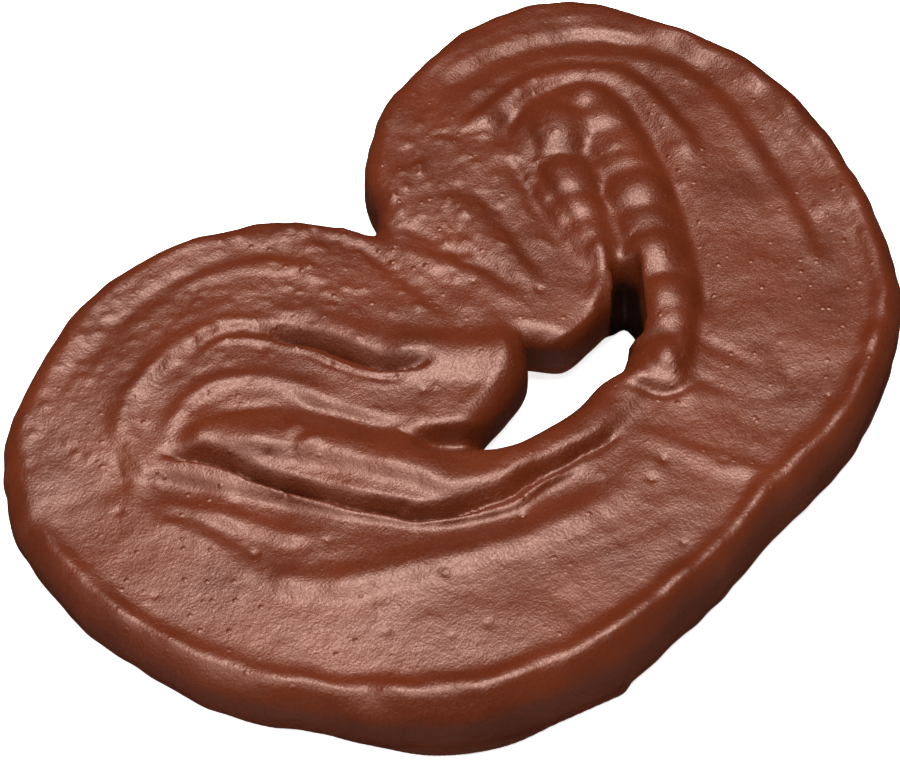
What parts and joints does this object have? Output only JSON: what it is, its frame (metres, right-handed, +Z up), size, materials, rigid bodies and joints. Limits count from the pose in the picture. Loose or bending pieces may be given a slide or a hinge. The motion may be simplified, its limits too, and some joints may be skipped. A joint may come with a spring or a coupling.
{
  "type": "palmier pastry",
  "caption": "Heart-shaped palmier pastry coated all over in milk chocolate, with rolled lobes, soft folds, a raised rim and a hole in the middle.",
  "frame": {"origin": "centre of the bounding box at the flat underside it rests on", "axes": "+X across the two lobes, +Y from the point of the heart towards the cleft between the lobes, +Z up out of the folded top"},
  "size_m": [0.129, 0.0908, 0.0107],
  "materials": {
    "chocolate": "satin"
  },
  "bodies": {
    "root": {"palmier": "chocolate"}
  },
  "joints": []
}
